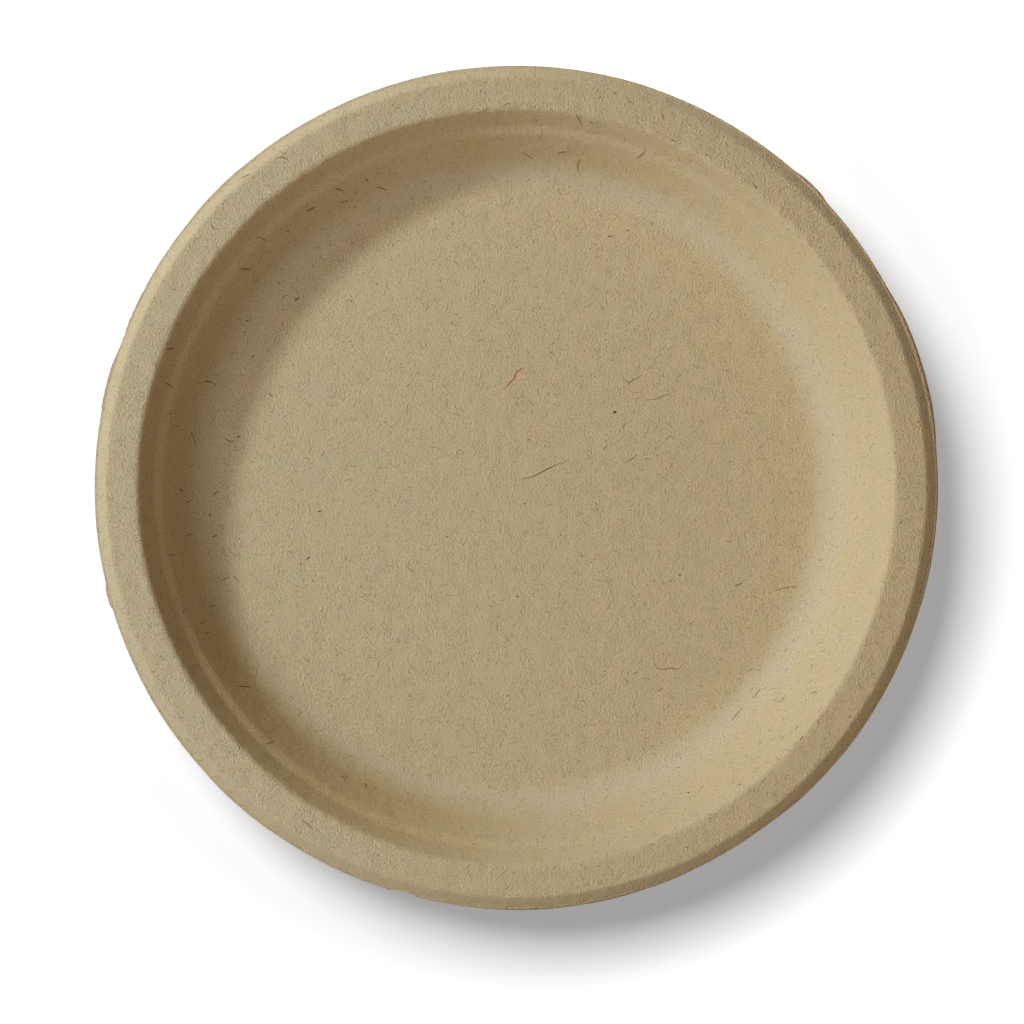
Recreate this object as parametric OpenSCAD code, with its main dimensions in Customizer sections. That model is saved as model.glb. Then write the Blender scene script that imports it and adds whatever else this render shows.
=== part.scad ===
// Round dinner plate pressed from paper pulp, in one piece.
// A sheet of even thickness is bent into a flat floor, a sloping wall with a soft ledge for
// stacking, a flat rim, a turned-down skirt and a narrow lip with a ragged, uncut edge.
// Units are millimetres. +Z is up, and the origin is at the centre of the underside.

/* [Overall] */
// Nominal diameter over the lip
plate_d = 225; // [180:1:280]
// Height from the table to the top of the rim
plate_h = 20; // [17:0.5:26]
// Thickness of the pressed pulp
pulp_t = 0.8; // [0.5:0.1:1.4]

/* [Wall] */
// Slope of the wall above the horizontal, in degrees
wall_angle = 54; // [46:1:62]
// Radius of the sweep from the floor into the wall, on the food side
floor_sweep_r = 13; // [4:0.5:15]

/* [Stacking ledge] */
// Height of the rim above the ledge's outer edge
ledge_drop = 5.2; // [4:0.1:7]
// Width of the ledge, measured along a radius
ledge_w = 2.05; // [1.5:0.05:3]
// Slope of the ledge above the horizontal, in degrees
ledge_angle = 40; // [25:1:44]
// Radius of the ledge's two bends, on their hollow side
ledge_bend_r = 3; // [0.5:0.1:3.5]

/* [Rim] */
// Width of the flat top of the rim, between its two shoulders
rim_w = 8.35; // [5:0.05:14]
// Radius of the rim's two shoulders, on their hollow side
shoulder_r = 1.2; // [0.2:0.1:2]

/* [Skirt and lip] */
// Height from the lip up to the top of the rim
skirt_drop = 1.8; // [1:0.1:4]
// Width of the skirt, measured along a radius
skirt_run = 2.7; // [2:0.05:5]
// Width of the flat lip below the skirt
lip_w = 0.7; // [0.6:0.05:3]
// Radius of the bend from the skirt into the lip, on its hollow side
lip_bend_r = 0.5; // [0.2:0.1:0.8]
// Height of the slow waves in the lip's edge
lip_wave_h = 0.1; // [0:0.05:0.3]

/* [Hidden] */

// Places where the uncut edge of the lip swells out or falls short of the nominal circle.
// Each row holds its direction from +X, half its width in degrees, and its height.
LIP_SWELLS = [
    [16.5, 12.5, 0.62],
    [45.5, 3.2, 0.55],
    [135, 6, 0.16],
    [159.5, 2.2, -0.3],
    [166, 4.5, 0.38],
    [195, 2, 0.5],
    [229, 7, 0.2],
    [254.5, 2, -0.5],
    [275, 14, 0.25],
    [302, 11, -0.3]
];

// Each slow wave of the lip's edge: its count round the plate, its start and its share
LIP_WAVES = [[5, 40, 0.5], [13, 200, 0.3], [29, 90, 0.2]];

// Largest angle between neighbouring points of a bend, and of the lip's outline
bend_step = 5;
outline_step = 1;

// Pulp as pressed, unbleached
pulp_colour = [0.7, 0.63, 0.5];

// Spare width outside the lip, which the lip's outline trims away
spare_w = 2 * pulp_t;

plate_r = plate_d / 2;
lip_z = plate_h - skirt_drop;
skirt_foot_r = plate_r - lip_w;
rim_out_r = skirt_foot_r - skirt_run;
rim_in_r = rim_out_r - rim_w;
ledge_out_z = plate_h - ledge_drop;
ledge_out_r = rim_in_r - ledge_drop / tan(wall_angle);
ledge_in_z = ledge_out_z - ledge_w * tan(ledge_angle);
ledge_in_r = ledge_out_r - ledge_w;
wall_foot_r = ledge_in_r - (ledge_in_z - pulp_t) / tan(wall_angle);

// The food side as straight runs, from the axis outwards: each corner, then its bend's radius
SECTION = [
    [[0, pulp_t], 0],
    [[wall_foot_r, pulp_t], floor_sweep_r],
    [[ledge_in_r, ledge_in_z], ledge_bend_r],
    [[ledge_out_r, ledge_out_z], ledge_bend_r],
    [[rim_in_r, plate_h], shoulder_r],
    [[rim_out_r, plate_h], shoulder_r],
    [[skirt_foot_r, lip_z], lip_bend_r],
    [[plate_r + spare_w, lip_z], 0]
];

// Unit vector at an angle above the horizontal
function unit(angle) = [cos(angle), sin(angle)];

// Slope of the straight run from point a to point b
function slope(a, b) = atan2(b[1] - a[1], b[0] - a[0]);

// Points of the bend at corner number i, on the skin that lies depth below the food side.
// The hollow side keeps the bend's own radius, and the round side is one thickness larger.
function bend(i, depth) =
    let (
        corner = SECTION[i][0],
        before = slope(SECTION[i - 1][0], corner),
        turn = slope(corner, SECTION[i + 1][0]) - before,
        side = sign(turn),
        food_r = SECTION[i][1] + (turn > 0 ? 0 : pulp_t),
        start = corner - food_r * tan(abs(turn) / 2) * unit(before),
        centre = start + side * food_r * unit(before + 90),
        skin_r = food_r + side * depth,
        steps = ceil(abs(turn) / bend_step)
    )
    [for (k = [0 : steps]) centre + skin_r * unit(before - side * 90 + turn * k / steps)];

// One whole skin of the section, from the axis out past the lip
function skin(depth) = concat(
    [SECTION[0][0] - [0, depth]],
    [for (i = [1 : len(SECTION) - 2], point = bend(i, depth)) point],
    [SECTION[len(SECTION) - 1][0] - [0, depth]]
);

// A list from its last item to its first
function reversed(list) = [for (i = [len(list) - 1 : -1 : 0]) list[i]];

// A flat-topped swelling, 1 at its middle and 0 from half its width outwards
function swelling(share) = abs(share) < 1 ? pow(1 - pow(share, 4), 2) : 0;

// Radius of the lip's edge in a direction
function lip_edge_r(angle) =
    let (
        swells = [for (s = LIP_SWELLS) s[2] * swelling((angle - s[0]) / s[1])],
        waves = [for (w = LIP_WAVES) lip_wave_h * w[2] * sin(w[0] * angle + w[1])]
    )
    plate_r + total(swells) + total(waves);

// Sum of a list of numbers
function total(list, i = 0) = i < len(list) ? list[i] + total(list, i + 1) : 0;

// The ragged outline of the lip, seen from above
module lip_outline() {
    polygon([
        for (angle = [0 : outline_step : 360 - outline_step]) lip_edge_r(angle) * unit(angle)
    ]);
}

// The even sheet of pulp, turned round the plate's axis
module pressed_sheet() {
    rotate_extrude($fn = 180) polygon(concat(skin(0), reversed(skin(pulp_t))));
}

module plate() {
    color(pulp_colour) intersection() {
        pressed_sheet();
        linear_extrude(plate_h + pulp_t) lip_outline();
    }
}

plate();
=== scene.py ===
"""Looks of a round dinner plate pressed from unbleached paper pulp.

The plate is one sheet of pulp: a flat floor, a sloping wall with a soft ledge, a flat rim, a
turned-down skirt and a narrow lip with an uncut edge. The sheet here repeats the sizes of the solid
plate, in metres, and adds the relief of the pressing, the ragged edge and the fibres in the pulp.
"""

from __future__ import annotations

import logging
import math
from dataclasses import dataclass, field
from enum import Enum

import bpy
import numpy as np
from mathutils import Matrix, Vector, noise


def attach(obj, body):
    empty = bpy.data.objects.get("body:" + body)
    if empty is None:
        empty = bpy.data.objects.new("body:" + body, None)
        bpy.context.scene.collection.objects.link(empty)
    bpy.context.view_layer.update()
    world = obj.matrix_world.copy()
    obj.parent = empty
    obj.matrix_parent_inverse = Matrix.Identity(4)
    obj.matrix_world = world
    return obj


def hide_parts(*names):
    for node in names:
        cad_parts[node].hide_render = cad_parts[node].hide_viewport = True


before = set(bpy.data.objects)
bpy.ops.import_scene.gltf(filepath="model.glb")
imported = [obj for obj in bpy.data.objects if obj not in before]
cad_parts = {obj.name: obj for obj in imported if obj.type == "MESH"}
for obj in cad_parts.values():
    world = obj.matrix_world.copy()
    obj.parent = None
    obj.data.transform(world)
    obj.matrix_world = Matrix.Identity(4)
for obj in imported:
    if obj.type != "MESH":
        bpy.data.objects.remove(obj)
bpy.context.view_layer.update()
MM = 0.001
MICROMETRE = 0.001 * MM

Pair = tuple[float, float]
Triple = tuple[float, float, float]
Colour = tuple[float, float, float, float]
Faces = list[tuple[int, ...]]

log = logging.getLogger("pulp_plate")


def placed(name: str, data: bpy.types.ID) -> bpy.types.Object:
    """Puts a mesh, a lamp or a camera into the scene.

    Args:
        name: the new object's name.
        data: what the object shows.

    Returns:
        The new object.
    """
    thing = bpy.data.objects.new(name, data)
    bpy.context.scene.collection.objects.link(thing)
    return thing


def smooth_mesh(name: str, points: list[Triple], faces: Faces) -> bpy.types.Mesh:
    """Makes a mesh that is shaded smooth.

    Args:
        name: its name.
        points: its points.
        faces: its faces, as numbers of points.

    Returns:
        The new mesh.
    """
    mesh = bpy.data.meshes.new(name)
    mesh.from_pydata(points, [], faces)
    mesh.polygons.foreach_set("use_smooth", [True] * len(mesh.polygons))
    return mesh


class Wire:
    """One output of a shader node, on which arithmetic adds Math nodes."""

    def __init__(self, tree: ShaderTree, socket: bpy.types.NodeSocket | None) -> None:
        """Keeps the tree and the node's output, which is None where the node has none."""
        self.tree = tree
        self.socket = socket

    def maths(self, operation: str, *values: Wire | float) -> Wire:
        """Adds one Math node, with its inputs in order."""
        return self.tree.add("ShaderNodeMath", {"operation": operation}, dict(enumerate(values)))

    def __add__(self, other: Wire | float) -> Wire:
        """Sum of the two."""
        return self.maths("ADD", self, other)

    __radd__ = __add__

    def __sub__(self, other: Wire | float) -> Wire:
        """Difference of the two."""
        return self.maths("SUBTRACT", self, other)

    def __rsub__(self, other: float) -> Wire:
        """Difference of the two, with the wire on the right."""
        return self.maths("SUBTRACT", other, self)

    def __mul__(self, other: Wire | float) -> Wire:
        """Product of the two."""
        return self.maths("MULTIPLY", self, other)

    __rmul__ = __mul__

    def __truediv__(self, other: Wire | float) -> Wire:
        """Quotient of the two."""
        return self.maths("DIVIDE", self, other)

    def __rtruediv__(self, other: float) -> Wire:
        """Quotient of the two, with the wire on the right."""
        return self.maths("DIVIDE", other, self)

    def __abs__(self) -> Wire:
        """Size without the sign."""
        return self.maths("ABSOLUTE", self)

    def __gt__(self, other: Wire | float) -> Wire:
        """1 where this is above the other, and 0 elsewhere."""
        return self.maths("GREATER_THAN", self, other)

    def also(self, name: str) -> Wire:
        """Another output of the same node."""
        return Wire(self.tree, self.socket.node.outputs[name])

    def ramp(self, low: float, high: float) -> Wire:
        """Smooth rise from 0 at low to 1 at high, which may be below low."""
        sockets = {"Value": self, "From Min": low, "From Max": high}
        return self.tree.add("ShaderNodeMapRange", {"interpolation_type": "SMOOTHSTEP"}, sockets)


class ShaderTree:
    """The nodes of one material or world."""

    def __init__(self, owner: bpy.types.Material | bpy.types.World) -> None:
        """Empties the owner's node tree and keeps it.

        Args:
            owner: the material or world that the nodes belong to.
        """
        owner.use_nodes = True
        self.nodes = owner.node_tree.nodes
        self.links = owner.node_tree.links
        self.nodes.clear()

    def plug(self, socket: bpy.types.NodeSocket, value: Wire | float | tuple[float, ...]) -> None:
        """Links a wire to a socket, or sets the socket's own value.

        Args:
            socket: the input to fill.
            value: the wire, number, colour or vector that goes into it.
        """
        if isinstance(value, Wire):
            self.links.new(value.socket, socket)
        else:
            socket.default_value = value

    def add(
        self, kind: str, settings: dict[str, object], sockets: dict, out: str | int = 0
    ) -> Wire:
        """Adds one node.

        Args:
            kind: the node's type.
            settings: its own settings, such as a Math node's operation, which are set first.
            sockets: the values or wires of its inputs, by name or number.
            out: the output that is returned, by name or number.

        Returns:
            The chosen output.
        """
        node = self.nodes.new(kind)
        for name, value in settings.items():
            setattr(node, name, value)
        for name, value in sockets.items():
            self.plug(node.inputs[name], value)
        return Wire(self, node.outputs[out] if node.outputs else None)

    def vector(self, operation: str, *values: Wire | tuple[float, ...]) -> Wire:
        """Adds one Vector Math node whose result is a vector."""
        return self.add("ShaderNodeVectorMath", {"operation": operation}, dict(enumerate(values)))

    def number(self, operation: str, *values: Wire | tuple[float, ...]) -> Wire:
        """Adds one Vector Math node whose result is a number, such as a length."""
        settings = {"operation": operation}
        return self.add("ShaderNodeVectorMath", settings, dict(enumerate(values)), "Value")

    def attribute(self, name: str) -> Wire:
        """The vector that is stored on the mesh under a name."""
        return self.add("ShaderNodeAttribute", {"attribute_name": name}, {}, "Vector")

    def split(self, vector: Wire) -> tuple[Wire, Wire, Wire]:
        """The three parts of a vector."""
        x = self.add("ShaderNodeSeparateXYZ", {}, {0: vector})
        return x, x.also("Y"), x.also("Z")

    def mixed(
        self, share: Wire | float, base: Wire | Colour, other: Wire | Colour, blend: str = "MIX"
    ) -> Wire:
        """Lays a share of the other colour over the base. The Mix node's sockets go by number."""
        settings = {"data_type": "RGBA", "blend_type": blend, "clamp_factor": True}
        return self.add("ShaderNodeMix", settings, {0: share, 6: base, 7: other}, 2)

    def tinted(self, base: Wire | Colour, tint: Wire | Colour, share: Wire | float = 1.0) -> Wire:
        """Multiplies a colour by a tint, as far as its share goes."""
        return self.mixed(share, base, tint, "MULTIPLY")


class Side(Enum):
    """The two skins of the sheet, in the order in which its rings are joined."""

    FOOD = "food side"
    TABLE = "table side"


@dataclass(frozen=True)
class Corner:
    """Where two straight runs of the food side meet, with the bend's radius on its hollow side."""

    radius: float
    height: float
    bend: float = 0.0


@dataclass(frozen=True)
class Dents:
    """Random hollows and swellings of about one width. The seed tells them from the others."""

    size: float
    depth: float
    seed: Triple = (0, 0, 0)

    def at(self, place: Vector) -> float:
        """Depth at a place, which is below zero on a swelling."""
        return self.depth * noise.noise(place / self.size + Vector(self.seed))


@dataclass
class Section:
    """The sheet's section, with the same sizes as the solid plate. Angles are in degrees.

    The fields from sag on are the finish's own: how far the pulp has sunk everywhere and in dents,
    and how the inner edge of the rim has worn.
    """

    plate_d: float = 225 * MM
    plate_h: float = 20 * MM
    pulp_t: float = 0.8 * MM
    wall_angle: float = 54
    floor_sweep_r: float = 13 * MM
    ledge_drop: float = 5.2 * MM
    ledge_w: float = 2.05 * MM
    ledge_angle: float = 40
    ledge_bend_r: float = 3 * MM
    rim_w: float = 8.35 * MM
    shoulder_r: float = 1.2 * MM
    skirt_drop: float = 1.8 * MM
    skirt_run: float = 2.7 * MM
    lip_w: float = 0.7 * MM
    lip_bend_r: float = 0.5 * MM
    bend_step: float = 9
    sag: float = 0.0665 * MM
    wide_sag: Dents = Dents(24 * MM, 0.0315 * MM)
    narrow_sag: Dents = Dents(7 * MM, 0.014 * MM, (5, 2, 8))
    wear: float = 0.063 * MM
    wear_reach: float = 1.4 * MM
    nicks: Dents = Dents(2.1 * MM, 0.18 * MM, (1, 6, 3))

    @property
    def skirt_foot(self) -> float:
        """Radius at which the skirt meets the lip."""
        return self.plate_d / 2 - self.lip_w

    @property
    def rim_in(self) -> float:
        """Radius of the rim's inner edge."""
        return self.skirt_foot - self.skirt_run - self.rim_w

    def corners(self) -> list[Corner]:
        """Corners of the food side, from the axis outwards.

        Returns:
            The corners with their bends. The first and the last have none.
        """
        wall_slope = math.tan(math.radians(self.wall_angle))
        ledge_out_h = self.plate_h - self.ledge_drop
        ledge_out = self.rim_in - self.ledge_drop / wall_slope
        ledge_in_h = ledge_out_h - self.ledge_w * math.tan(math.radians(self.ledge_angle))
        ledge_in = ledge_out - self.ledge_w
        wall_foot = ledge_in - (ledge_in_h - self.pulp_t) / wall_slope
        lip_h = self.plate_h - self.skirt_drop
        return [
            Corner(0.0, self.pulp_t),
            Corner(wall_foot, self.pulp_t, self.floor_sweep_r),
            Corner(ledge_in, ledge_in_h, self.ledge_bend_r),
            Corner(ledge_out, ledge_out_h, self.ledge_bend_r),
            Corner(self.rim_in, self.plate_h, self.shoulder_r),
            Corner(self.skirt_foot - self.skirt_run, self.plate_h, self.shoulder_r),
            Corner(self.skirt_foot, lip_h, self.lip_bend_r),
            Corner(self.plate_d / 2, lip_h),
        ]

    def skin(self, side: Side) -> np.ndarray:
        """One skin of the section, as points from the axis out to the lip's edge.

        Args:
            side: the skin that is wanted.

        Returns:
            Rows of radius and height, with bends as arcs and no points inside the straight runs.
        """
        depth = self.pulp_t if side is Side.TABLE else 0.0
        corners = self.corners()
        points = [(0.0, corners[0].height - depth)]
        for before, here, after in zip(corners, corners[1:], corners[2:], strict=False):
            points += self.bend(before, here, after, depth)
        points.append((corners[-1].radius, corners[-1].height - depth))
        return np.array(points)

    def bend(self, before: Corner, here: Corner, after: Corner, depth: float) -> list[Pair]:
        """The arc at one corner, on the skin that lies depth below the food side.

        Args:
            before: the corner nearer the axis.
            here: the corner that is bent.
            after: the corner farther out.
            depth: how far the skin lies below the food side.

        Returns:
            The arc's points.
        """
        slope = math.atan2(here.height - before.height, here.radius - before.radius)
        turn = math.atan2(after.height - here.height, after.radius - here.radius) - slope
        side = math.copysign(1.0, turn)
        food_r = here.bend + (0.0 if turn > 0 else self.pulp_t)
        reach = food_r * math.tan(abs(turn) / 2)
        centre_r = here.radius - reach * math.cos(slope) - side * food_r * math.sin(slope)
        centre_h = here.height - reach * math.sin(slope) + side * food_r * math.cos(slope)
        skin_r = food_r + side * depth
        steps = math.ceil(abs(turn) / math.radians(self.bend_step))
        aims = [slope - side * math.pi / 2 + turn * k / steps for k in range(steps + 1)]
        return [(centre_r + skin_r * math.cos(a), centre_h + skin_r * math.sin(a)) for a in aims]

    def sunk(self, points: np.ndarray) -> np.ndarray:
        """How far the food side lies below its true shape, where the pulp has shrunk or worn.

        Args:
            points: rows of x, y and height.

        Returns:
            One depth for each point.
        """
        depths = []
        for x, y, _ in points:
            place = Vector((x, y, 0))
            sag = self.sag + self.wide_sag.at(place) + self.narrow_sag.at(place)
            off_edge = (place.length - self.rim_in) / self.wear_reach
            wear = self.wear + self.nicks.at(place)
            depths.append(max(0.0, sag) + wear * math.exp(-(off_edge**2)))
        return np.clip(depths, 0, None)


@dataclass(frozen=True)
class Swell:
    """A place where the uncut edge swells out or falls short, with its angles in degrees."""

    angle: float
    half_width: float
    rise: float


@dataclass(frozen=True)
class Wave:
    """A slow wave of the uncut edge: its count round the plate, start in degrees and height."""

    count: int
    start: float
    height: float


@dataclass
class LipEdge:
    """The uncut edge of the lip, seen from above. Its angles are in degrees.

    Gaps between the fibres eat into it, the most where it is torn. The usual gap and the way that
    the gaps come and go are shares of their depth, and sound is how torn the rest of the edge is.
    The inset keeps the whole edge inside the solid's.
    """

    radius: float
    swells: tuple[Swell, ...] = (
        Swell(16.5, 12.5, 0.62 * MM),
        Swell(45.5, 3.2, 0.55 * MM),
        Swell(135, 6, 0.16 * MM),
        Swell(159.5, 2.2, -0.3 * MM),
        Swell(166, 4.5, 0.38 * MM),
        Swell(195, 2, 0.5 * MM),
        Swell(229, 7, 0.2 * MM),
        Swell(254.5, 2, -0.5 * MM),
        Swell(275, 14, 0.25 * MM),
        Swell(302, 11, -0.3 * MM),
    )
    waves: tuple[Wave, ...] = (
        Wave(5, 40, 0.05 * MM),
        Wave(13, 200, 0.03 * MM),
        Wave(29, 90, 0.02 * MM),
    )
    torn_angle: float = 160
    torn_half_width: float = 12
    sound: float = 0.3
    gap_depth: float = 0.35 * MM
    gap_mean: float = 0.5
    gaps: Dents = Dents(1.1 * MM, 0.5)
    fine_gaps: Dents = Dents(0.5 * MM, 0.3)
    inset: float = 0.02 * MM

    def reach(self, angles: np.ndarray) -> np.ndarray:
        """How far the edge lies from the axis.

        Args:
            angles: directions from +X, in degrees.

        Returns:
            The edge's radius in each direction.
        """
        reach = np.full_like(angles, self.radius)
        for wave in self.waves:
            reach += wave.height * np.sin(np.radians(wave.count * angles + wave.start))
        for swell in self.swells:
            share = np.clip(np.abs(angles - swell.angle) / swell.half_width, 0, 1)
            reach += swell.rise * (1 - share**4) ** 2
        return reach - self.eaten(angles)

    def torn(self, angles: np.ndarray) -> np.ndarray:
        """How torn the edge is, from 0 to 1, in directions in degrees from +X."""
        away = np.clip(np.abs(angles - self.torn_angle) / self.torn_half_width, 0, 1)
        return self.sound + (1 - self.sound) * (1 - away**4)

    def eaten(self, angles: np.ndarray) -> np.ndarray:
        """How far the gaps between the fibres eat into the edge.

        Args:
            angles: directions from +X, in degrees.

        Returns:
            The depth of the gap in each direction.
        """
        turn = np.radians(angles)
        shares = []
        for x, y in zip(np.cos(turn), np.sin(turn), strict=True):
            place = Vector((x, y, 0)) * self.radius
            shares.append(self.gap_mean + self.gaps.at(place) + self.fine_gaps.at(place))
        return self.gap_depth * self.torn(angles) * np.clip(shares, 0, None) + self.inset


@dataclass(frozen=True)
class Ring:
    """One ring of the sheet's points, with the vectors that are stored at them.

    "sheet" is the place on the sheet as if it were laid flat. "press" says how rough the pressing
    left the skin and how torn it is, and holds 1 on the table side.
    """

    points: np.ndarray
    sheet: np.ndarray
    press: np.ndarray


@dataclass
class PressedSheet:
    """The plate's sheet of pulp as one closed mesh of rings.

    The mould rubs the skin smooth where the sine of its slope passes smooth_from, wholly so from
    smooth_to on, and by skirt_rub as much from the rim outwards.
    """

    section: Section = field(default_factory=Section)
    ring_counts: tuple[int, ...] = (96, 192, 384, 768)
    table_count: int = 256
    edge_count: int = 1536
    spacing: float = 1.12 * MM
    table_spacing: float = 2.5 * MM
    smooth_from: float = 0.12
    smooth_to: float = 0.52
    skirt_rub: float = 0.5

    def build(self) -> bpy.types.Object:
        """Makes the sheet as one object."""
        return self.joined([ring for side in Side for ring in self.rings(side)])

    def rings(self, side: Side) -> list[Ring]:
        """Rings of one skin.

        Args:
            side: the skin that is wanted.

        Returns:
            Its rings, outwards on the food side and inwards on the table side.
        """
        food = side is Side.FOOD
        spacing = self.spacing if food else self.table_spacing
        rows = self.run_out(self.section.skin(side), spacing)
        lengths = np.hypot(*np.diff(np.vstack([[0, rows[0][1]], rows]), axis=0).T)
        runs = np.cumsum(lengths)
        rises = np.abs(np.gradient(rows[:, 1], runs))
        rings = [self.ring(side, *row) for row in np.column_stack([rows, runs, rises])]
        return rings if food else rings[::-1]

    def run_out(self, points: np.ndarray, spacing: float) -> np.ndarray:
        """Adds points along the straight runs.

        Args:
            points: rows of radius and height.
            spacing: the largest distance between neighbouring points.

        Returns:
            The finer rows, without the point on the axis.
        """
        rows = []
        for a, b in zip(points, points[1:], strict=False):
            steps = max(1, math.ceil(np.linalg.norm(b - a) / spacing))
            rows += [a + (b - a) * k / steps for k in range(1, steps + 1)]
        return np.array(rows)

    def ring(self, side: Side, radius: float, height: float, run: float, rise: float) -> Ring:
        """One ring of one skin.

        Args:
            side: the skin that it is on.
            radius: its radius.
            height: its height.
            run: its distance from the axis along the skin.
            rise: the sine of the skin's slope there.

        Returns:
            The ring.
        """
        section = self.section
        count = self.count_at(side, radius)
        angles = np.arange(count) * 360.0 / count
        reach = np.full(count, radius)
        torn = np.zeros(count)
        if radius > section.skirt_foot:
            edge = LipEdge(section.plate_d / 2)
            share = (radius - section.skirt_foot) / section.lip_w
            reach += share * (edge.reach(angles) - edge.radius)
            torn = share**2 * edge.torn(angles)
        turn = np.radians(angles)
        aims = np.column_stack([np.cos(turn), np.sin(turn)])
        points = np.column_stack([reach[:, None] * aims, np.full(count, height)])
        if side is Side.FOOD:
            points[:, 2] -= section.sunk(points)
        flat = run + reach - radius
        sheet = np.column_stack([flat[:, None] * aims, np.zeros(count)])
        rubbed = (rise - self.smooth_from) / (self.smooth_to - self.smooth_from)
        rubbed = min(max(rubbed, 0), 1) * (self.skirt_rub if radius > section.rim_in else 1)
        under = float(side is Side.TABLE)
        press = np.column_stack([np.full(count, 1 - rubbed), torn, np.full(count, under)])
        return Ring(points, sheet, press)

    def count_at(self, side: Side, radius: float) -> int:
        """Number of points in a ring.

        Args:
            side: the skin that it is on.
            radius: its radius.

        Returns:
            The fixed counts on the lip and the table side, and elsewhere the smallest allowed count
            that keeps the points within the spacing.
        """
        if radius > self.section.skirt_foot:
            return self.edge_count
        if side is Side.TABLE:
            return self.table_count
        wanted = 2 * math.pi * radius / self.spacing
        return next((n for n in self.ring_counts if n >= wanted), self.ring_counts[-1])

    def joined(self, rings: list[Ring]) -> bpy.types.Object:
        """Joins the rings into one closed surface.

        Args:
            rings: the rings, from the middle of the food side round to that of the table side.

        Returns:
            The new object.
        """
        starts = [int(n) for n in np.cumsum([0] + [len(r.points) for r in rings])]
        first, last = len(rings[0].points), len(rings[-1].points)
        top, bottom = starts[-1], starts[-1] + 1
        faces: Faces = [(top, k, (k + 1) % first) for k in range(first)]
        for near, far, a, b in zip(starts, starts[1:], rings, rings[1:], strict=False):
            faces += self.stitch(near, len(a.points), far, len(b.points))
        base = starts[-2]
        faces += [(base + k, bottom, base + (k + 1) % last) for k in range(last)]
        middles = Ring(
            points=np.array([[0, 0, rings[0].points[0][2]], [0, 0, rings[-1].points[0][2]]]),
            sheet=np.zeros((2, 3)),
            press=np.array([[1, 0, 0], [1, 0, 1]]),
        )
        rings = [*rings, middles]
        points = np.vstack([r.points for r in rings]).tolist()
        mesh = smooth_mesh("pressed_plate", points, faces)
        for name in ("sheet", "press"):
            layer = mesh.attributes.new(name, "FLOAT_VECTOR", "POINT")
            layer.data.foreach_set("vector", np.vstack([getattr(r, name) for r in rings]).ravel())
        mesh.update()
        return placed("pressed_plate", mesh)

    @staticmethod
    def stitch(near: int, near_count: int, far: int, far_count: int) -> Faces:
        """Faces between two neighbouring rings.

        Args:
            near: the first ring's first point.
            near_count: the number of its points.
            far: the second ring's first point.
            far_count: the number of its points.

        Returns:
            Squares where the counts are the same, and fans of triangles where they differ.
        """
        if near_count == far_count:
            after = [(k + 1) % near_count for k in range(near_count)]
            return [(near + k, far + k, far + n, near + n) for k, n in enumerate(after)]
        faces = []
        i = j = 0
        while i < near_count or j < far_count:
            if j < far_count and (i == near_count or (j + 1) * near_count <= (i + 1) * far_count):
                faces.append((near + i % near_count, far + j, far + (j + 1) % far_count))
                j += 1
            else:
                faces.append((near + i, far + j % far_count, near + (i + 1) % near_count))
                i += 1
        return faces


class Tone(Enum):
    """Colours of the stray fibres that show in the pulp."""

    BROWN = (0.24, 0.125, 0.035)
    RED = (0.55, 0.07, 0.035)
    DARK = (0.1, 0.05, 0.012)


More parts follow.
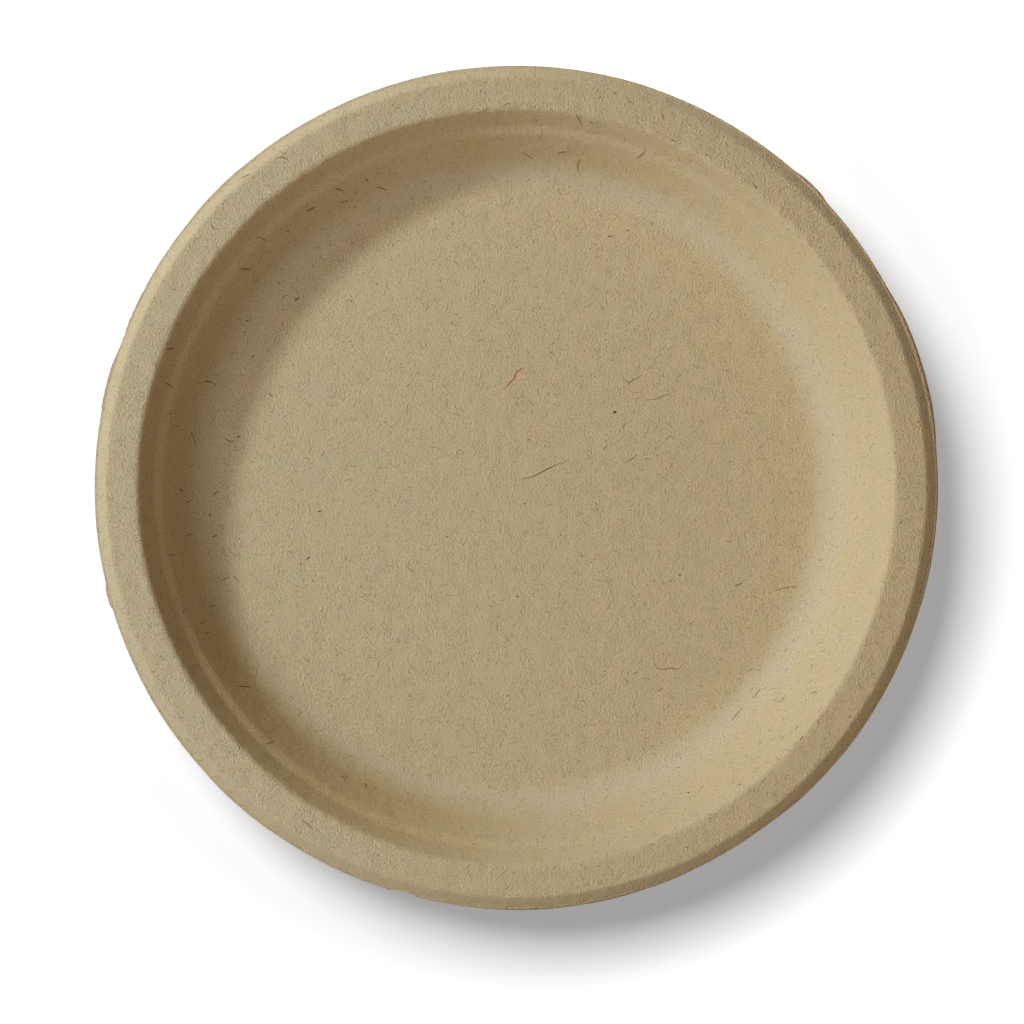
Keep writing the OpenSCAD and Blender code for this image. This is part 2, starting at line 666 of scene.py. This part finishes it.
# The larger fibres and specks that show in the photograph, each with its width at the middle and
# the points that it runs through, seen from above, in millimetres
BROWN_FIBRES = (
    (0.34, (0.7, 2.5), (3.5, 2.8), (6.5, 4.1), (9, 5.4), (11.6, 6.6), (13.4, 7.1)),
    (0.26, (37.7, -44.9), (37.6, -47.2), (38.7, -49.1), (40.5, -49.4),
     (41.7, -49.1), (44.2, -49.3), (45.6, -48), (46.5, -47.4)),
    (0.3, (-88.1, 15.2), (-87.5, 13.3), (-86.9, 11.9)),
    (0.26, (-88.5, 5.7), (-87.6, 6.3)),
    (0.26, (-89.2, -12.9), (-88.4, -12.6), (-87.7, -12.8)),
    (0.26, (-93.9, -17.8), (-92.9, -18.1), (-91.8, -17.9)),
    (0.26, (-83, -32.3), (-82, -31.9)),
    (0.28, (-85, -36.6), (-83.9, -36.1)),
    (0.28, (-80.2, -25.3), (-79.1, -24.5), (-78.3, -24.3)),
    (0.28, (-77.2, -24), (-76.2, -24.8), (-75.6, -25.6)),
    (0.26, (-72.1, -14.7), (-71.1, -13.6)),
    (0.3, (-52.8, 9), (-52.3, 9.7)),
    (0.26, (20, 49.8), (20.8, 50.5)),
    (0.26, (9.8, 39.2), (10.4, 39.7)),
    (0.26, (1.9, -4.3), (2.9, -4)),
    (0.26, (23.7, 10.4), (24.8, 11.5)),
    (0.28, (24.2, 40.3), (24.7, 40.6)),
    (0.26, (-29.8, 27.6), (-28.9, 28.4)),
    (0.24, (42, -25.3), (42.8, -24.8)),
    (0.24, (70.1, -28.1), (73.1, -27.3), (76.4, -26.7)),
    (0.24, (47.2, -37.2), (48.3, -36.6)),
    (0.28, (31.9, -50.7), (33.2, -50.2)),
    (0.26, (31.8, -59.7), (32.2, -59.2)),
    (0.26, (38.8, -55.4), (39.6, -54.8)),
    (0.26, (41.2, -59.9), (41.8, -59)),
    (0.24, (57.8, -14.8), (58.6, -14.3)),
    (0.26, (63.6, -49.9), (64.2, -49.4)),
    (0.3, (29.1, 30.1), (29.6, 29.4), (30.8, 28.9), (32.4, 29.7), (34.3, 30.9)),
    (0.26, (64.7, -57.1), (65.6, -55.7), (66.4, -54.7)),
    (0.26, (58.7, -63.3), (59.9, -61.7), (61.4, -60.2)),
    (0.28, (69.9, -57.6), (71.5, -57.6), (72.7, -55.8)),
    (0.26, (79, -55.3), (79.8, -54.7), (80.3, -54.9)),
    (0.26, (74.5, -64.5), (75.4, -63.7)),
    (0.28, (65, -69.1), (65.7, -68.3)),
    (0.26, (70.8, -67.3), (71.7, -66.5)),
    (0.28, (82.1, -44.2), (83, -43.7)),
    (0.26, (73, -44.4), (73.7, -43.9)),
    (0.3, (1.9, 90.7), (3.2, 90), (4.6, 89.3)),
    (0.3, (17.4, 88.8), (16.6, 87.6), (16.9, 86)),
    (0.32, (16.1, 98.8), (17.6, 97)),
    (0.3, (32.4, 88.6), (33.5, 89.2), (34.7, 90.3)),
    (0.36, (-3.3, 101.6), (-2.1, 102.3)),
    (0.34, (29.6, 103.3), (31, 102)),
    (0.22, (35.3, 24.1), (38, 24.2), (40, 25), (42.5, 26)),
    (0.26, (40.9, 13.3), (42.1, 14.2), (43, 13.3)),
    (0.28, (30.2, 7.2), (31.4, 7.8), (32.6, 8.9)),
    (0.24, (-29.4, 22.9), (-29.9, 21.2), (-29.6, 20)),
    (0.28, (-5.1, -36.7), (-5.2, -38.9)),
    (0.28, (-7.1, -32.2), (-6.3, -32.3)),
    (0.3, (24.9, -25.2), (25.2, -25.9)),
    (0.26, (-29.8, -21.4), (-28.8, -22.4), (-27.9, -22.7)),
    (0.28, (-19, -13.2), (-18.6, -13.4)),
    (0.36, (-40.5, 83.2), (-40.1, 82.9)),
    (0.34, (-37.8, 81.4), (-36.5, 81.4), (-35.4, 80.9)),
    (0.34, (-69.7, 67.2), (-68.4, 67), (-67.2, 66.4)),
    (0.3, (-93.2, 36.8), (-91.5, 37.2)),
    (0.36, (-67.4, 25.8), (-66.4, 24.9)),
    (0.4, (-45.1, 51.1), (-44.8, 51)),
    (0.34, (-38.2, 55.8), (-37.8, 55.5)),
    (0.34, (-63.4, 87.6), (-61.9, 87.8), (-60.8, 87.1)),
    (0.32, (-73.3, 82.4), (-70.8, 83.3)),
    (0.3, (-81.2, 70), (-80.4, 68.6)),
    (0.34, (91.1, -52.2), (91.6, -53.3)),
    (0.34, (45.2, -95.7), (45.7, -95.5)),
    (0.36, (41.3, 99.9), (42.1, 98.4)),
    (0.34, (38.8, 99.2), (39.2, 97.9)),
    (0.32, (22, 103.6), (22.5, 103.8)),
    (0.3, (41.3, 92.6), (42.2, 92.1)),
    (0.42, (30.2, 70.2), (30.6, 70.4)),
    (0.34, (62.9, 81), (64, 79.6)),
)
RED_FIBRES = (
    (0.46, (-3.3, 26.8), (-1.7, 28.7), (-0.6, 29.8), (-0.3, 30.6), (0.3, 31.7), (2, 32.8)),
)
DARK_FIBRES = (
    (0.84, (26.6, 20.8), (27.1, 20.7)),
    (0.52, (-56.3, 74.5), (-54.4, 75.6)),
    (0.38, (-73.9, 58.8), (-71.5, 59)),
    (0.34, (-47.4, 77.3), (-45.8, 77.7)),
    (0.48, (-60.3, 51.1), (-59.2, 51.9)),
    (0.4, (-93, 19.8), (-92.6, 19.9)),
    (0.4, (-75.3, 14.1), (-76, 13.9)),
    (0.28, (-79.7, 13.8), (-78.3, 12.9), (-77.5, 12.7), (-76.7, 13.1)),
    (0.46, (-90.8, -0.6), (-90.5, -0.6)),
    (0.4, (-89.2, -3.8), (-89, -3.8)),
    (0.3, (-82.5, -2), (-81.4, -0.9)),
    (0.3, (-82.6, -13.3), (-81.5, -12.8)),
    (0.36, (-83.6, -7.3), (-83.3, -7.3)),
    (0.26, (-83.9, -39.4), (-83.2, -39.1)),
    (0.32, (-89.3, -33.1), (-89.2, -33.6)),
    (0.4, (-57.1, -19.5), (-56.5, -18.9)),
    (0.4, (-53.8, -6.4), (-53.3, -6.3)),
    (0.38, (44.5, -23.8), (44.8, -23.7)),
    (0.28, (59.5, -26.9), (60.7, -26.3), (61.8, -25.9)),
    (0.36, (25.3, 68.6), (26.5, 68.8)),
    (0.26, (79.5, -48.2), (80, -47.6)),
    (0.32, (88.6, -61.2), (88.9, -60.8)),
    (0.3, (-74.7, -53.6), (-72, -53.9)),
    (0.3, (-57, -88.4), (-55.2, -89.8), (-54.1, -90.9)),
    (0.28, (-47.1, -78), (-46.3, -78.7), (-45.8, -78.1)),
    (0.4, (-40.9, -80.2), (-40.4, -80.8)),
    (0.28, (-67.2, -68.7), (-65.4, -68.2)),
    (0.34, (11.2, 90.5), (13.6, 90.8)),
    (0.56, (26.2, 104.7), (26.6, 105)),
    (0.34, (76.2, -66.4), (75.7, -67.1)),
    (0.34, (0.3, -29.5), (0.6, -29.5)),
    (0.26, (3.2, 13.1), (3.6, 13.2)),
    (0.28, (-48.4, 80.5), (-46.8, 80)),
    (0.3, (-62, 69.1), (-61.4, 69.3)),
    (0.28, (-64.9, 56), (-64.3, 55.8)),
    (0.36, (-73.3, 45.5), (-73, 45.5)),
    (0.36, (-74.1, 42.2), (-73.9, 42.5)),
    (0.32, (-71.9, 35.7), (-71.6, 36)),
    (0.3, (-93.6, 27.8), (-92.9, 27.6), (-92.3, 27)),
    (0.28, (-84.8, 28.7), (-83.6, 28.9), (-82.4, 28.5), (-81.8, 27.8)),
    (0.34, (59.5, -79.4), (59.8, -79.2)),
    (0.4, (46.1, -82), (46.5, -82)),
    (0.32, (19.8, 97.4), (20.2, 97.3)),
    (0.32, (50.3, 88.6), (50.6, 88.4)),
)
STRAY_FIBRES = {Tone.BROWN: BROWN_FIBRES, Tone.RED: RED_FIBRES, Tone.DARK: DARK_FIBRES}


@dataclass
class StrayFibres:
    """The larger fibres and specks, half sunk into the pulp.

    The step between rings of points and the overhang past the path's ends are in millimetres. The
    flatness is height over width, the sink is a share of the radius, and blunt counts in steps.
    """

    section: Section = field(default_factory=Section)
    sides: int = 6
    step: float = 0.35
    overhang: float = 0.2
    flatness: float = 0.6
    sink: float = 0.15
    taper: float = 0.4
    blunt: float = 0.6

    def smooth(self, path: list[Pair]) -> np.ndarray:
        """A smooth line through the points of a path.

        Args:
            path: the points, in millimetres.

        Returns:
            Rows of x and y, in metres.
        """
        p = np.array(path, dtype=float)
        for end, inner in ((0, 1), (-1, -2)):
            way = p[end] - p[inner]
            p[end] += way / np.linalg.norm(way) * self.overhang
        p = np.vstack([2 * p[0] - p[1], p, 2 * p[-1] - p[-2]])
        rows = [p[1]]
        for a, b, c, d in zip(p, p[1:], p[2:], p[3:], strict=False):
            steps = max(2, math.ceil(np.linalg.norm(c - b) / self.step))
            for k in range(1, steps + 1):
                t = k / steps
                square = (2 * a - 5 * b + 4 * c - d) * t**2
                cube = (3 * b - a - 3 * c + d) * t**3
                rows.append(0.5 * (2 * b + (c - a) * t + square + cube))
        return np.array(rows) * MM

    def spine(self, radius: float, path: list[Pair]) -> np.ndarray:
        """The middle line of one fibre, low enough for it not to rise above the rim.

        Args:
            radius: half the fibre's width, in metres.
            path: the points that it runs through, in millimetres.

        Returns:
            Rows of x, y and height.
        """
        line = self.smooth(path)
        skin = self.section.skin(Side.FOOD)
        heights = np.interp(np.hypot(*line.T), skin[:, 0], skin[:, 1])
        spine = np.column_stack([line, heights])
        spine[:, 2] -= self.section.sunk(spine) + self.sink * radius
        spine[:, 2] = np.minimum(spine[:, 2], self.section.plate_h - self.flatness * radius)
        return spine

    def tube(self, radius: float, spine: np.ndarray) -> list[Triple]:
        """Points of the flattened tube round one fibre's middle line.

        Args:
            radius: half the fibre's width at the middle, in metres.
            spine: the middle line.

        Returns:
            The points, one ring after another.
        """
        ways = np.gradient(spine, axis=0)
        ways /= np.linalg.norm(ways, axis=1)[:, None]
        points = []
        for k, (centre, way) in enumerate(zip(spine, ways, strict=True)):
            share = (k + self.blunt) / (len(spine) - 1 + 2 * self.blunt)
            thin = radius * math.sin(math.pi * share) ** self.taper
            side = np.cross(way, (0, 0, 1))
            side /= np.linalg.norm(side)
            up = self.flatness * np.cross(side, way)
            for j in range(self.sides):
                turn = 2 * math.pi * j / self.sides
                points.append(tuple(centre + thin * (math.cos(turn) * side + math.sin(turn) * up)))
        return points

    def skin(self, base: int, rings: int) -> Faces:
        """Faces of one tube, with its two ends.

        Args:
            base: the tube's first point.
            rings: the number of its rings.

        Returns:
            The faces.
        """
        around = range(self.sides)
        end = base + (rings - 1) * self.sides
        faces = []
        for near in range(base, end, self.sides):
            far = near + self.sides
            for j in around:
                after = (j + 1) % self.sides
                faces.append((near + j, near + after, far + after, far + j))
        return [*faces, tuple(base + j for j in reversed(around)), tuple(end + j for j in around)]

    def build(self, tone: Tone) -> bpy.types.Object:
        """Makes the fibres of one tone as one object.

        Args:
            tone: the tone that is wanted.

        Returns:
            The new object.
        """
        points: list[Triple] = []
        faces: Faces = []
        for width, *path in STRAY_FIBRES[tone]:
            radius = width / 2 * MM
            tube = self.tube(radius, self.spine(radius, path))
            faces += self.skin(len(points), len(tube) // self.sides)
            points += tube
        name = f"{tone.name.lower()}_fibres"
        return placed(name, smooth_mesh(name, points, faces))


@dataclass(frozen=True)
class Clouds:
    """Cloudy noise about 0.5, with the size of its largest blotches in millimetres."""

    size: float
    detail: float = 2.0
    rough: float = 0.5
    seed: Triple = (0, 0, 0)

    def draw(self, place: Wire) -> Wire:
        """Adds the noise's nodes.

        Args:
            place: where it is looked up, in metres.

        Returns:
            The noise value.
        """
        tree = place.tree
        if any(self.seed):
            place = tree.vector("ADD", place, self.seed)
        sockets = {"Scale": 1 / (self.size * MM), "Detail": self.detail, "Roughness": self.rough}
        settings = {"noise_dimensions": "2D"}
        return tree.add("ShaderNodeTexNoise", settings, {"Vector": place, **sockets})


@dataclass(frozen=True)
class Band:
    """A zone round the plate, by its radii on the sheet laid flat, in millimetres.

    It comes in between the two radii of its start and goes out between those of its end, or stays.
    """

    start: Pair
    end: Pair | None = None

    def share(self, sheet: Wire) -> Wire:
        """Adds the zone's nodes.

        Args:
            sheet: the place on the sheet laid flat.

        Returns:
            1 in the zone and 0 elsewhere.
        """
        out = sheet.tree.number("LENGTH", sheet)
        mask = out.ramp(self.start[0] * MM, self.start[1] * MM)
        return mask * out.ramp(self.end[1] * MM, self.end[0] * MM) if self.end else mask


@dataclass(frozen=True)
class Flecks:
    """Flecks that begin at one noise value and are full at another.

    They show with the strength of their share, and with more on the wall.
    """

    start: float
    full: float
    share: float
    wall: float

    def mask(self, spread: Wire, wall: Wire) -> Wire:
        """How strongly they show, from the noise and the share of the wall."""
        return spread.ramp(self.start, self.full) * (wall * self.wall + self.share)


@dataclass(frozen=True)
class Strokes:
    """A layer of short fibres, in some share of the cells of a random net.

    The cells' size, the usual length and the width are in millimetres. The lengths run from the
    shortest up by the spread, as shares of the usual one. The core and the shank are the shares of
    the width and the length that are solid, and the rest fades out. The seed shifts the net, and
    the skew times as far in y.
    """

    cell: float
    length: float
    width: float
    share: float = 1.0
    curl: float = 0.6
    seed: float = 0.0
    shortest: float = 0.4
    spread: float = 0.8
    core: float = 0.2
    shank: float = 0.7
    skew: float = 1.7

    def draw(self, sheet: Wire) -> tuple[Wire, Wire]:
        """Adds the layer's nodes.

        Args:
            sheet: the place on the sheet laid flat, in metres.

        Returns:
            1 on a fibre and 0 off it, and a random number from 0 to 1 for each cell.
        """
        tree = sheet.tree
        start = (self.seed, self.skew * self.seed, 0)
        place = tree.vector("MULTIPLY_ADD", sheet, (1 / (self.cell * MM),) * 3, start)
        sockets = {"Vector": place, "Scale": 1.0}
        cell = tree.add("ShaderNodeTexVoronoi", {"voronoi_dimensions": "2D"}, sockets)
        dice = tree.add("ShaderNodeSeparateColor", {}, {"Color": cell.also("Color")})
        green, blue = dice.also("Green"), dice.also("Blue")
        away = tree.vector("SUBTRACT", place, cell.also("Position"))
        sockets = {"Vector": away, "Angle": dice * math.tau}
        turned = tree.add("ShaderNodeVectorRotate", {"rotation_type": "Z_AXIS"}, sockets)
        along, across, _ = tree.split(turned)
        bowed = across + (green - 0.5) * along * along * (2 * self.curl)
        scaled = abs(along) / (green * self.spread + self.shortest)
        thin, long = 0.5 * self.width / self.cell, 0.5 * self.length / self.cell
        fibre = abs(bowed).ramp(thin, self.core * thin) * scaled.ramp(long, self.shank * long)
        if self.share < 1:
            empty = 1 - self.share
            return fibre * (blue > empty), (blue - empty) / self.share
        return fibre, blue


@dataclass(frozen=True)
class PulpFinish:
    """Unbleached pulp as it comes from the press.

    From warm to rubbed the colours are tints that multiply the first one, and from pale on they are
    colours of their own. Heights of the relief are in micrometres.
    """

    colour: Colour = (0.64, 0.514, 0.312, 1.0)
    warm: Colour = (1.033, 0.992, 0.945, 1.0)
    cool: Colour = (0.967, 1.0, 1.035, 1.0)
    pink: Colour = (1.015, 0.988, 1.0, 1.0)
    green: Colour = (0.985, 1.002, 0.99, 1.0)
    stained: Colour = (1.0, 0.985, 0.925, 1.0)
    # painted shade: a darker, warmer tint for a spot on the lower left of the wall
    painted_wall_shade: Colour = (0.97, 0.93, 0.81, 1.0)
    # painted sheen: a paler, cooler tint for the smooth band where the floor sweeps up into the
    # wall
    rubbed: Colour = (0.985, 1.015, 1.11, 1.0)
    pale: Colour = (0.77, 0.65, 0.45, 1.0)
    brown: Colour = (0.285, 0.17, 0.06, 1.0)
    torn: Colour = (0.47, 0.29, 0.13, 1.0)
    roughness: float = 0.85
    specular: float = 0.2
    table_shift: float = 0.4

    grain: Clouds = Clouds(0.6, 1.0, 0.7)
    grain_height: float = 250
    raised: tuple[Strokes, ...] = (
        Strokes(0.6, 0.8, 0.27, seed=3.1),
        Strokes(1.4, 1.9, 0.29, seed=27.9, curl=0.8),
    )
    raised_heights: tuple[float, ...] = (170, 200)
    raised_middle: float = 0.4
    felt: Clouds = Clouds(4, 1.0)
    pressed_flat: float = 0.6
    pucker: Clouds = Clouds(5, 1.0)
    pucker_height: float = 250

    drift: Clouds = Clouds(11)
    drift_swing: float = 0.6
    # painted light: how fast the rough skin turns cooler towards -X and warmer towards +X
    painted_light_slope: float = 5
    blotches: Clouds = Clouds(6, 3.0, 0.65, (0.1, 0.2, 0))
    blotch_edges: Pair = (0.35, 0.65)
    sweep: Band = Band((80, 85), (88, 93))
    rubbed_sheen_share: float = 0.85

    wall: Band = Band((83, 88), (106, 111))
    flecks: Clouds = Clouds(0.55, 2.0, 0.6, (0.3, 0.1, 0))
    pale_flecks: Flecks = Flecks(0.52, 0.85, 0.2, 0.15)
    brown_flecks: Flecks = Flecks(0.48, 0.15, 0.22, 0.2)
    light: Strokes = Strokes(1.1, 1.3, 0.27, share=0.4, seed=71.3)
    light_share: float = 0.6
    dark: tuple[Strokes, ...] = (
        Strokes(2.9, 2.0, 0.3, share=0.42, seed=41.7, curl=0.9),
        Strokes(1.7, 0.75, 0.36, share=0.2, seed=57.3),
    )
    dark_share: float = 0.8
    dark_faintest: float = 0.3
    torn_share: float = 0.9

    hollow_shade: float = 0.0009
    rough_shade: float = 0.02
    skirt: Band = Band((116.8, 118.3))
    skirt_way: Triple = (0.36, 0.84, 0)
    lip: Band = Band((120.1, 120.7))
    lee_way: Triple = (0.866, -0.5, 0)
    lee_edges: Pair = (30 * MM, 100 * MM)
    lee_shade: float = 0.22

    stains: Clouds = Clouds(13, 3.0, 0.6, (0.2, 0.1, 0))
    stain_edges: Pair = (0.45, 0.7)
    # middle of the painted shade on the wall, and the distances over which it fades in
    painted_wall_shade_middle: Triple = (-52 * MM, -74 * MM, 0)
    painted_wall_shade_edges: Pair = (66 * MM, 22 * MM)

    def felted(self, sheet: Wire) -> Wire:
        """The fine relief of the matted fibres.

        Args:
            sheet: the place on the sheet laid flat.

        Returns:
            The height above the middle level.
        """
        relief = (self.grain.draw(sheet) - 0.5) * self.grain_height
        for layer, height in zip(self.raised, self.raised_heights, strict=True):
            fibre, dice = layer.draw(sheet)
            relief = fibre * (dice - self.raised_middle) * height + relief
        return relief * (self.felt.draw(sheet) + 0.5)

    def tint(self, sheet: Wire, rough: Wire) -> Wire:
        """How the pulp's colour drifts over the sheet, with painted light on top.

        Args:
            sheet: the place on the sheet laid flat.
            rough: how rough the skin is, from 0 to 1.

        Returns:
            The tint of the pulp, with a painted sheen round the foot of the wall.
        """
        tree = sheet.tree
        x, _, _ = tree.split(sheet)
        drift = (self.drift.draw(sheet) - 0.5) * self.drift_swing + 0.5
        # Painted light: the rough skin is tinted cooler towards -X and warmer towards +X.
        drift = drift - x * rough * self.painted_light_slope
        blotch = self.blotches.draw(sheet).ramp(*self.blotch_edges)
        tone = tree.mixed(drift, self.warm, self.cool)
        tint = tree.tinted(tone, tree.mixed(blotch, self.pink, self.green))
        # Painted sheen: the smooth band round the foot of the wall is tinted paler and cooler.
        return tree.mixed(self.sweep.share(sheet) * self.rubbed_sheen_share, tint, self.rubbed)

    def side_shade(self, sheet: Wire) -> Wire:
        """How much lighter or darker the skirt and the lip are from side to side.

        Args:
            sheet: the place on the sheet laid flat.

        Returns:
            The share to add to 1.
        """
        side = sheet.tree.number("DOT_PRODUCT", sheet, self.skirt_way)
        lee = sheet.tree.number("DOT_PRODUCT", sheet, self.lee_way).ramp(*self.lee_edges)
        return side * self.skirt.share(sheet) - lee * self.lip.share(sheet) * self.lee_shade

    def base(self, sheet: Wire, relief: Wire, rough: Wire, torn: Wire) -> Wire:
        """The colour of the pulp, with painted shade and light on it.

        Args:
            sheet: the place on the sheet laid flat.
            relief: the fine relief, whose hollows are darker.
            rough: how rough the skin is, from 0 to 1.
            torn: how torn the edge is, from 0 to 1.

        Returns:
            The colour.
        """
        tree = sheet.tree
        wall = self.wall.share(sheet)
        colour = tree.tinted(self.colour, self.tint(sheet, rough))
        spread = self.flecks.draw(sheet)
        colour = tree.mixed(self.pale_flecks.mask(spread, wall), colour, self.pale)
        colour = tree.mixed(self.brown_flecks.mask(spread, wall), colour, self.brown)
        shade = relief * self.hollow_shade + rough * self.rough_shade + self.side_shade(sheet) + 1
        colour = tree.tinted(colour, shade)
        fibre, dice = self.light.draw(sheet)
        colour = tree.mixed(fibre * dice * self.light_share, colour, self.pale)
        for layer in self.dark:
            fibre, dice = layer.draw(sheet)
            strength = dice * (1 - self.dark_faintest) + self.dark_faintest
            colour = tree.mixed(fibre * strength * self.dark_share, colour, self.brown)
        stain = self.stains.draw(sheet).ramp(*self.stain_edges)
        colour = tree.tinted(colour, self.stained, stain * wall)
        # Painted shade: the wall is tinted darker and warmer round a spot on its lower left.
        off_painted_wall_shade = tree.number("LENGTH", tree.vector("SUBTRACT", sheet, self.painted_wall_shade_middle))
        colour = tree.tinted(colour, self.painted_wall_shade, off_painted_wall_shade.ramp(*self.painted_wall_shade_edges) * wall)
        return tree.mixed(torn * self.torn_share, colour, self.torn)

    def material(self) -> bpy.types.Material:
        """Makes the material. The table side looks its pattern up at a place of its own.

        Returns:
            The new material.
        """
        material = bpy.data.materials.new("unbleached_pulp")
        tree = ShaderTree(material)
        rough, torn, table = tree.split(tree.attribute("press"))
        shift = tree.add("ShaderNodeCombineXYZ", {}, {"X": table * self.table_shift})
        sheet = tree.vector("ADD", tree.attribute("sheet"), shift)
        relief = self.felted(sheet)
        height = relief * (rough * self.pressed_flat + (1 - self.pressed_flat))
        height = height + self.pucker.draw(sheet) * self.pucker_height
        bump = {"Strength": 1.0, "Distance": MICROMETRE, "Height": height}
        sockets = {
            "Base Color": self.base(sheet, relief, rough, torn),
            "Roughness": self.roughness,
            "Specular IOR Level": self.specular,
            "Normal": tree.add("ShaderNodeBump", {}, bump),
        }
        shader = tree.add("ShaderNodeBsdfPrincipled", {}, sockets)
        tree.add("ShaderNodeOutputMaterial", {}, {"Surface": shader})
        return material


@dataclass(frozen=True)
class FibreFinish:
    """The stray fibres of one tone, which the pulp partly covers in patches."""

    tone: Tone
    pulp: Colour = (0.44, 0.35, 0.21, 1.0)
    cover: float = 0.6
    patches: Clouds = Clouds(1.5)
    patch_edges: Pair = (0.35, 0.75)
    roughness: float = 0.8
    specular: float = 0.2

    def material(self) -> bpy.types.Material:
        """Makes the material.

        Returns:
            The new material.
        """
        material = bpy.data.materials.new(f"{self.tone.name.lower()}_fibre")
        tree = ShaderTree(material)
        place = tree.add("ShaderNodeTexCoord", {}, {}, "Object")
        cover = self.patches.draw(place).ramp(*self.patch_edges) * self.cover
        sockets = {
            "Base Color": tree.mixed(cover, (*self.tone.value, 1.0), self.pulp),
            "Roughness": self.roughness,
            "Specular IOR Level": self.specular,
        }
        shader = tree.add("ShaderNodeBsdfPrincipled", {}, sockets)
        tree.add("ShaderNodeOutputMaterial", {}, {"Surface": shader})
        return material


@dataclass(frozen=True)
class Lamp:
    """One round lamp that shines on the middle of the plate.

    Azimuth, from +X, and elevation are in degrees, distance and size in metres, power in watts.
    """

    name: str
    azimuth: float
    elevation: float
    distance: float
    size: float
    power: float
    colour: Triple


SKY = (0.82, 0.92, 1)
AMBER = (1, 0.72, 0.42)
PLATE_LAMPS = (
    Lamp("key", 150, 33.3, 1.8, 0.233, 18.4, SKY),
    Lamp("high", 180, 60, 1.3, 1.0, 5.8, (1, 0.901, 0.788)),
    Lamp("side", 225, 35, 1.3, 1.0, 2.25, SKY),
    Lamp("left", 180, 35, 1.3, 1.0, 1.2, SKY),
    Lamp("front", 300, 14, 1.3, 0.9, 2.0, AMBER),
    Lamp("right", 0, 60, 1.3, 1.0, 0.82, AMBER),
    Lamp("back", 90, 35, 1.3, 1.0, 0.45, AMBER),
)
FLOOR_LAMP = Lamp("floor_light", 132.4, 46.2, 2.0, 1.24, 42, (1, 1, 1))


@dataclass
class Studio:
    """Floor, lamps and camera, with lens and sensor in millimetres.

    Round the plate the floor glows with a share of full white, its shade, to the camera alone. The
    glow rises to full white between the two distances from the axis that floor_edges holds.
    """

    camera_height: float = 776.5 * MM
    camera_x: float = -1.11 * MM
    camera_y: float = -6.52 * MM
    lens: float = 100
    sensor: float = 36
    floor_half: float = 2.0
    floor_shade: float = 0.345
    floor_edges: Pair = (127 * MM, 167 * MM)
    paint: Colour = (0.9, 0.9, 0.9, 1)

    def camera(self) -> None:
        """Puts the camera straight above the plate, as in the photograph."""
        data = bpy.data.cameras.new("view")
        data.lens = self.lens
        data.sensor_width = self.sensor
        camera = placed("view", data)
        camera.location = (self.camera_x, self.camera_y, self.camera_height)
        bpy.context.scene.camera = camera

    def lamp(self, spec: Lamp, lit: list[bpy.types.Object]) -> None:
        """Adds one lamp.

        Args:
            spec: what the lamp is like.
            lit: the only objects that it lights.
        """
        data = bpy.data.lights.new(spec.name, "AREA")
        data.shape = "DISK"
        data.size = spec.size
        data.energy = spec.power
        data.color = spec.colour
        turn, rise = math.radians(spec.azimuth), math.radians(spec.elevation)
        flat = math.cos(rise)
        away = Vector((math.cos(turn) * flat, math.sin(turn) * flat, math.sin(rise)))
        lamp = placed(spec.name, data)
        lamp.location = away * spec.distance
        lamp.rotation_mode = "QUATERNION"
        lamp.rotation_quaternion = away.to_track_quat("Z", "Y")
        group = bpy.data.collections.new(f"lit_by_{spec.name}")
        for piece in lit:
            group.objects.link(piece)
        lamp.light_linking.receiver_collection = group

    def floor(self) -> bpy.types.Object:
        """Lays the pale floor that the plate stands on.

        Returns:
            The floor.
        """
        half = self.floor_half
        corners = [(-half, -half, 0), (half, -half, 0), (half, half, 0), (-half, half, 0)]
        mesh = bpy.data.meshes.new("floor")
        mesh.from_pydata(corners, [], [(0, 1, 2, 3)])
        floor = placed("floor", mesh)
        material = bpy.data.materials.new("pale_floor")
        tree = ShaderTree(material)
        away = tree.number("LENGTH", tree.add("ShaderNodeTexCoord", {}, {}, "Object"))
        seen = tree.add("ShaderNodeLightPath", {}, {}, "Is Camera Ray")
        rise = away.ramp(*self.floor_edges) * (1 - self.floor_shade)
        glow = tree.add("ShaderNodeEmission", {}, {"Strength": (rise + self.floor_shade) * seen})
        paint = tree.add("ShaderNodeBsdfDiffuse", {}, {"Color": self.paint})
        shader = tree.add("ShaderNodeAddShader", {}, {0: paint, 1: glow})
        tree.add("ShaderNodeOutputMaterial", {}, {"Surface": shader})
        mesh.materials.append(material)
        return floor

    def world(self) -> None:
        """Makes the backdrop white to the camera, without light of its own."""
        world = bpy.data.worlds.new("studio")
        tree = ShaderTree(world)
        seen = tree.add("ShaderNodeLightPath", {}, {}, "Is Camera Ray")
        sockets = {"Color": (1, 1, 1, 1), "Strength": seen}
        shader = tree.add("ShaderNodeBackground", {}, sockets)
        tree.add("ShaderNodeOutputWorld", {}, {"Surface": shader})
        bpy.context.scene.world = world

    def build(self, pieces: list[bpy.types.Object]) -> None:
        """Sets the whole studio up.

        Args:
            pieces: the pieces that the plate's lamps light.
        """
        bpy.context.scene.view_settings.view_transform = "Standard"
        self.camera()
        floor = self.floor()
        self.world()
        for spec in PLATE_LAMPS:
            self.lamp(spec, pieces)
        self.lamp(FLOOR_LAMP, [floor])


def main() -> None:
    """Builds the plate and the studio, and reports each piece."""
    logging.basicConfig(level=logging.INFO, format="%(name)s: %(message)s")
    plate = PressedSheet().build()
    plate.data.materials.append(PulpFinish().material())
    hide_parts("plate")
    pieces = [plate]
    for tone in Tone:
        fibres = StrayFibres().build(tone)
        fibres.data.materials.append(FibreFinish(tone).material())
        pieces.append(fibres)
    for piece in pieces:
        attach(piece, "root")
        piece.data.calc_loop_triangles()
        log.info("%s: %d triangles", piece.name, len(piece.data.loop_triangles))
    Studio().build(pieces)


if __name__ == "__main__":
    main()
